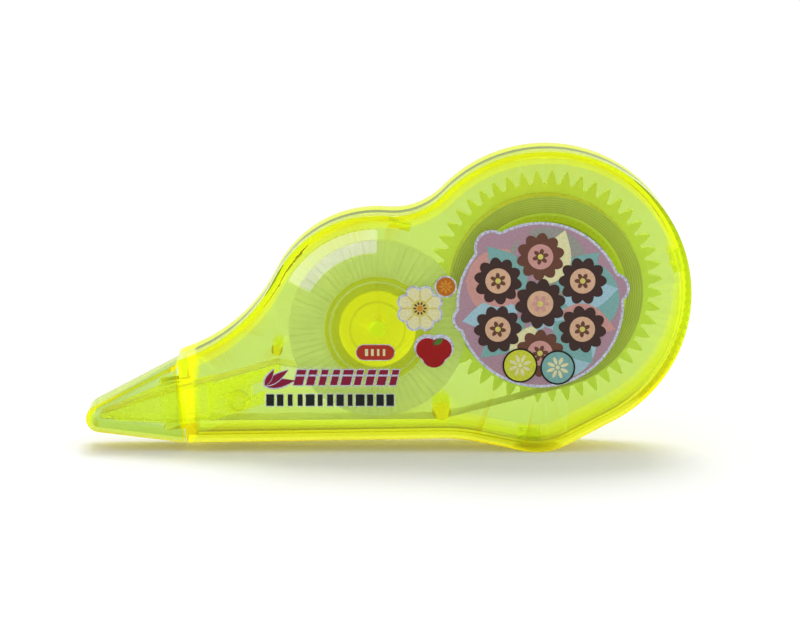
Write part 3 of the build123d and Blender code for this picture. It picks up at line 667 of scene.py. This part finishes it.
def marks(x, z, count, pitch, width, height, ink, slant=0.0, uneven=0.0, level=1):
    mesh = bakeTree(markRow, markIds, {
        "Count": count, "Pitch": pitch * mm, "Width": width * mm, "Height": height * mm,
        "Slant": slant, "Thickness": inkThickness, "Uneven": uneven,
        "Ink": foil if ink == "foil" else printInk(ink)})
    mesh.transform(Matrix.Translation((x * mm, z * mm, (level + 0.5) * inkThickness)))
    return mesh


# Round picture: a wreath of brown-petalled flowers on teal and mauve leaves, two fruits at the foot
picture = {"radius": 12.2, "edge": 0.4, "ring": 7.1, "flowers": 6, "leaves": 12, "bumpReach": 11.0,
           "bumps": ((130, 2.6), (191, 2.0), (13, 2.3)), "fruits": ((-2.9, -8.9, "lemon"),
                                                                    (2.6, -9.2, "dustyTeal"))}


def picturePrint():
    p = picture
    bumps = [(p["bumpReach"] * math.cos(math.radians(angle)),
              p["bumpReach"] * math.sin(math.radians(angle)), radius) for angle, radius in p["bumps"]]
    # the sheet reaches further right than its round part, by its bump there
    offX = stickerPlace("picture_label")[2] / mm - max(p["radius"], *(x + r for x, z, r in bumps))
    discs = [(offX, 0.0, p["radius"])] + [(offX + x, z, r) for x, z, r in bumps]
    layers = [inkLayer(roundDiscs(discs, p["edge"], 200), "duskyMauve", 0)]

    def at(angle, reach):
        return offX + reach * math.cos(math.radians(angle)), reach * math.sin(math.radians(angle))

    # soft patches behind, pale at the top, teal to the right and rose to the left
    for angle, reach, size, ink in ((80, 5.6, 5.9, "stone"), (10, 6.0, 5.6, "dustyTeal"),
                                    (-62, 6.4, 5.2, "paleBlue"), (150, 6.6, 5.0, "blush")):
        patch = inkLayer(roundDiscs([(0, 0, size)], 0, 60), ink, 1 + (ink in ("stone", "paleBlue")))
        patch.transform(Matrix.Translation((at(angle, reach)[0] * mm, at(angle, reach)[1] * mm, 0)))
        layers.append(patch)
    leafInks = ("paleBlue", "dustyTeal", "cream", "duskyMauve", "dustyTeal", "blush")
    for i in range(p["leaves"]):
        angle = 360.0 * i / p["leaves"] + 12
        leaf = turned(leafOutline(8.4, 4.6), angle, at(angle, 3.2))
        layers.append(inkLayer(leaf, leafInks[i % len(leafInks)], 3 + i % 3))
    for i in range(p["flowers"]):
        x, z = at(360.0 * i / p["flowers"] + 30, p["ring"])
        petal, core = (("darkBrown", "peach"), ("chestnut", "blush"), ("darkBrown", "peach"))[i % 3]
        layers.append(flower(x, z, 10, 3.0, 1.9, 2.0, 1.85, petal, core, 13 * i, 6 + 3 * (i % 2)))
        layers.append(flower(x, z, 6, 1.0, 0.6, 0.7, 0.4, "chestnut", "butter", 17 * i, 9 + 3 * (i % 2)))
    layers.append(flower(offX, 0.2, 10, 3.2, 2.0, 2.1, 1.9, "darkBrown", "peach", 9, 12))
    layers.append(flower(offX, 0.2, 6, 1.1, 0.65, 0.75, 0.42, "blush", "butter", 0, 15))
    for x, z, ink in p["fruits"]:
        for size, colour, level in ((2.55, "inkBlack", 16), (2.3, ink, 17)):
            layers.append(inkLayer(roundDiscs([(0, 0, size)], 0, 48), colour, level))
            layers[-1].transform(Matrix.Translation(((offX + x) * mm, z * mm, 0)))
        layers.append(flower(offX + x, z, 8, 1.2, 0.5, 1.05, 0.3, "cream", "cream", 20, 18))
    return placePrint("picture.print", layers, "picture_label")


# Small stickers: a cream flower, an orange, an apple and a red pill
small = {"edge": 0.3, "flowerRadius": 3.5, "fruitRadius": 1.6,
         "apple": ((-0.95, 0.25, 1.95), (0.95, 0.25, 1.95), (0.0, -0.75, 2.0)),
         "pill": (5.7, 2.4), "pillMarks": (4, 0.85, 0.5, 1.0)}


def flowerPrint():
    r = small["flowerRadius"]
    discs = [(0.0, 0.0, r * 0.7)]
    for k in range(8):
        angle = math.tau * (k + 0.5) / 8
        discs.append((r * 0.66 * math.cos(angle), r * 0.66 * math.sin(angle), r * 0.34))
    layers = [inkLayer(roundDiscs(discs, small["edge"]), "cream", 0),
              flower(0, 0, 8, 1.5, 0.3, 1.9, 1.25, "butter", "butter", 0, 1),
              flower(0, 0, 10, 0.5, 0.3, 0.75, 0.42, "chestnut", "amber", 0, 4)]
    return placePrint("flower.print", layers, "flower_label")


def fruitPrint():
    layers = [inkLayer(roundDiscs([(0, 0, small["fruitRadius"])], small["edge"] * 0.7), "orange", 0),
              flower(0, 0, 8, 0.75, 0.34, 0.62, 0.16, "amber", "amber", 0, 1)]
    return placePrint("fruit.print", layers, "fruit_label")


def applePrint():
    layers = [inkLayer(roundDiscs(small["apple"], small["edge"]), "cherryRed", 0),
              inkLayer(turned(leafOutline(1.7, 0.8), 35, (0.05, 0.95)), "leafGreen", 1),
              inkLayer(turned(leafOutline(1.2, 0.28), 100, (0.05, 0.55)), "chestnut", 2)]
    return placePrint("apple.print", layers, "apple_label")


def roundBar(length, height, inset, steps=16):
    r = height / 2 - inset
    half = length / 2 - height / 2
    right = [(half + r * math.sin(math.pi * i / steps), -r * math.cos(math.pi * i / steps))
             for i in range(steps + 1)]
    return right + [(-x, -z) for x, z in right]


def pillPrint():
    count, pitch, width, height = small["pillMarks"]
    layers = [inkLayer(roundBar(*small["pill"], 0.1), "brickRed", 0),
              marks(-pitch * (count - 1) / 2, 0, count, pitch, width, height, "cream", 0, 0.35, 1)]
    return placePrint("pill.print", layers, "pill_label")


# Printed line: a sprig of three leaves and a row of slanted blocks, each with a silver edge,
# and one silver line drawn through the row
stripe = {"blocks": 9, "pitch": 1.72, "width": 1.45, "height": 2.25, "slant": 0.24, "edge": 0.3,
          "start": -4.4, "sprig": ((4.8, 1.25, 10), (4.5, 1.05, 34), (3.1, 0.8, 60)),
          "sprigAt": (-9.7, -1.3), "line": (15.2, 0.26, 0.3)}
# Printed line below: short black dashes with a silver edge
bar = {"dashes": 13, "pitch": 1.46, "width": 1.3, "height": 1.7, "edge": 0.2}


def stripePrint():
    s = stripe
    layers = []
    for i, (length, width, lean) in enumerate(s["sprig"]):
        layers.append(inkLayer(turned(leafOutline(length, width + s["edge"]), lean, s["sprigAt"]),
                               "foil", 2 * i))
        layers.append(inkLayer(turned(leafOutline(length - s["edge"], width), lean,
                                      (s["sprigAt"][0] + 0.15, s["sprigAt"][1] + 0.08)),
                               "maroon", 2 * i + 1))
    layers.append(marks(s["start"], 0, s["blocks"], s["pitch"], s["width"] + s["edge"],
                        s["height"] + s["edge"], "foil", s["slant"], 0.35, 0))
    layers.append(marks(s["start"], 0, s["blocks"], s["pitch"], s["width"], s["height"], "maroon",
                        s["slant"], 0.35, 1))
    length, width, z = s["line"]
    layers.append(marks(s["start"] + length / 2 - 0.8, z, 1, 1.0, length, width, "foil", 0, 0, 2))
    return placePrint("stripe.print", layers, "stripe_label")


def barPrint():
    b = bar
    start = -b["pitch"] * (b["dashes"] - 1) / 2
    layers = [marks(start, 0, b["dashes"], b["pitch"], b["width"] + b["edge"],
                    b["height"] + b["edge"], "foil", 0, 0.5, 0),
              marks(start, 0, b["dashes"], b["pitch"], b["width"], b["height"], "inkBlack", 0, 0.5, 1)]
    return placePrint("bar.print", layers, "bar_label")


for makePrint in (picturePrint, flowerPrint, fruitPrint, applePrint, pillPrint, stripePrint, barPrint):
    print("printed", makePrint().name)

# Floor, light and camera. The sky gives the floor most of its white, a soft lamp behind the top
# gives the rest and puts the shadow in front; floor and sky are white where they are looked at.
studio = {"floorAlbedo": 0.9, "floorLift": 0.06, "sky": 0.74, "sun": 1.4, "sunSpread": 30.0,
          "sunLean": -30.0, "sunTurn": 4.0}


# 1 on the rays that see a background, straight or in glass
def seenDirectly(tree):
    path = addNode(tree, "ShaderNodeLightPath")
    seen = addNode(tree, "ShaderNodeMath", operation="MAXIMUM",
                   links={0: path.outputs["Is Camera Ray"], 1: path.outputs["Is Glossy Ray"]})
    return addNode(tree, "ShaderNodeMath", operation="MAXIMUM",
                   links={0: seen.outputs[0], 1: path.outputs["Is Transmission Ray"]})


floorMesh = bpy.data.meshes.new("floor")
floorMesh.from_pydata([(-4, -4, 0), (4, -4, 0), (4, 4, 0), (-4, 4, 0)], [], [(0, 1, 2, 3)])
floor = bpy.data.objects.new("floor", floorMesh)
bpy.context.scene.collection.objects.link(floor)
floorPaint, tree = newMaterial("paleFloor")
lift = addNode(tree, "ShaderNodeMath", operation="MULTIPLY", links={0: seenDirectly(tree).outputs[0]},
               inputs={1: studio["floorLift"]})
matt = addNode(tree, "ShaderNodeBsdfDiffuse", inputs={"Color": (studio["floorAlbedo"],) * 3 + (1,)})
glow = addNode(tree, "ShaderNodeEmission", links={"Strength": lift.outputs[0]})
both = addNode(tree, "ShaderNodeAddShader", links={0: matt.outputs[0], 1: glow.outputs[0]})
addNode(tree, "ShaderNodeOutputMaterial", links={"Surface": both.outputs[0]})
floorMesh.materials.append(floorPaint)

world = bpy.data.worlds.new("studio")
bpy.context.scene.world = world
world.use_nodes = True
tree = world.node_tree
tree.nodes.clear()
sky = addNode(tree, "ShaderNodeBackground", inputs={"Strength": studio["sky"]})
white = addNode(tree, "ShaderNodeBackground", inputs={"Strength": 1.0})
for background in (sky, white):
    background.inputs["Color"].default_value = (1.0, 1.0, 1.0, 1.0)
mixed = addNode(tree, "ShaderNodeMixShader",
                links={0: seenDirectly(tree).outputs[0], 1: sky.outputs[0], 2: white.outputs[0]})
addNode(tree, "ShaderNodeOutputWorld", links={"Surface": mixed.outputs[0]})

sun = bpy.data.objects.new("sun", bpy.data.lights.new("sun", "SUN"))
sun.data.energy = studio["sun"]
sun.data.angle = math.radians(studio["sunSpread"])
sun.rotation_euler = (math.radians(studio["sunLean"]), math.radians(studio["sunTurn"]), 0)
bpy.context.scene.collection.objects.link(sun)

view = {"elevation": 9.0, "distance": 0.55, "target": (0.0018, -0.0066, 0.0212), "width": 0.1164}
camera = bpy.data.objects.new("camera", bpy.data.cameras.new("camera"))
camera.data.sensor_width = 36.0
camera.data.lens = camera.data.sensor_width * view["distance"] / view["width"]
tilt = math.radians(view["elevation"])
camera.location = Vector(view["target"]) + view["distance"] * Vector((0, -math.cos(tilt), math.sin(tilt)))
camera.rotation_euler = (math.pi / 2 - tilt, 0, 0)
camera.data.clip_start = 0.01
bpy.context.scene.collection.objects.link(camera)
bpy.context.scene.camera = camera
bpy.context.scene.view_settings.view_transform = "Standard"
print("studio set")
